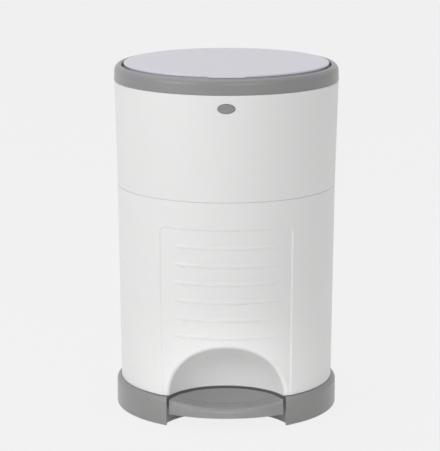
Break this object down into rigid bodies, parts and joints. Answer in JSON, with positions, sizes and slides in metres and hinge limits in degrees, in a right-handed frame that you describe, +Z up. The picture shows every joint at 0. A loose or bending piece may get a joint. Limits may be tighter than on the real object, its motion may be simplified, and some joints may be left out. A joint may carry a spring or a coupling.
{
  "type": "pedal nappy bin",
  "caption": "Round pedal bin for nappies with a tip-up lid ring, pedal-lifted lid, sprung inner trap flaps and a side-hinged emptying door.",
  "frame": {"origin": "centre of the footprint on the floor", "axes": "+Z up, the pedal and button face -Y"},
  "size_m": [0.3, 0.3045, 0.4685],
  "materials": {
    "white_plastic": "satin white moulded plastic",
    "lid_plastic": "satin cool white moulded plastic",
    "inner_plastic": "matt white moulded plastic",
    "grey_plastic": "fine-grained mid grey moulded plastic",
    "rubber_foot": "matt dark rubber",
    "steel": "plain bright steel"
  },
  "bodies": {
    "tub": {"base": "grey_plastic", "foot_front_left": "rubber_foot", "foot_front_right": "rubber_foot", "foot_rear_left": "rubber_foot", "foot_rear_right": "rubber_foot", "pedal_axle": "steel", "rod_cover": "inner_plastic", "rear_shell": "white_plastic", "upper_shell": "white_plastic", "cassette_shelf": "inner_plastic", "refill_cassette": "inner_plastic", "latch_housing": "inner_plastic", "button_spring": "steel", "ring_hinge_pin": "steel"},
    "pedal": {"pedal": "grey_plastic", "pedal_lever": "steel"},
    "rod": {"push_rod": "steel"},
    "door": {"front_door": "white_plastic", "door_catch": "inner_plastic", "cutter_holder": "grey_plastic", "cutter_blade": "steel"},
    "button": {"release_button": "grey_plastic", "latch_slide": "inner_plastic"},
    "lid_ring": {"top_ring": "grey_plastic", "funnel": "inner_plastic", "lid_hinge_pin": "steel", "flap_pin_left": "steel", "flap_pin_right": "steel"},
    "lid": {"lid": "lid_plastic", "lid_seal": "rubber_foot"},
    "left_flap": {"trap_flap_left": "grey_plastic"},
    "right_flap": {"trap_flap_right": "grey_plastic"}
  },
  "joints": [
    {"name": "pedal_press", "type": "hinge", "parent": "tub", "child": "pedal", "pos_m": [0, -0.04, 0.021], "axis": [1, 0, 0], "range_deg": [0, 8]},
    {"name": "rod_lift", "type": "slide", "parent": "tub", "child": "rod", "axis": [0, 0, 1], "range_m": [0, 0.02164]},
    {"name": "lid_open", "type": "hinge", "parent": "lid_ring", "child": "lid", "pos_m": [0, 0.132, 0.4615], "axis": [-1, 0, 0], "range_deg": [0, 75]},
    {"name": "ring_tip_back", "type": "hinge", "parent": "tub", "child": "lid_ring", "pos_m": [0, 0.1516, 0.4455], "axis": [-1, 0, 0], "range_deg": [0, 90]},
    {"name": "door_swing", "type": "hinge", "parent": "tub", "child": "door", "pos_m": [-0.13969, -0.01468, 0.0395], "axis": [0.0118, 0.0012, -0.9999], "range_deg": [0, 100]},
    {"name": "button_press", "type": "slide", "parent": "tub", "child": "button", "axis": [0, 1, 0], "range_m": [0, 0.003], "stiffness_N_per_m": 600, "springref_m": -0.002, "deforming": ["button_spring"]},
    {"name": "left_flap_drop", "type": "hinge", "parent": "lid_ring", "child": "left_flap", "pos_m": [-0.053, 0, 0.4315], "axis": [0, 1, 0], "range_deg": [0, 80], "stiffness_Nm_per_rad": 0.02, "springref_deg": -29.79},
    {"name": "right_flap_drop", "type": "hinge", "parent": "lid_ring", "child": "right_flap", "pos_m": [0.053, 0, 0.4315], "axis": [0, -1, 0], "range_deg": [0, 80], "stiffness_Nm_per_rad": 0.02, "springref_deg": -29.79}
  ],
  "couplings": [
    {"joint": "rod_lift", "follows": "pedal_press", "m_per_rad": 0.15496},
    {"joint": "lid_open", "follows": "pedal_press", "ratio": 9.375}
  ]
}
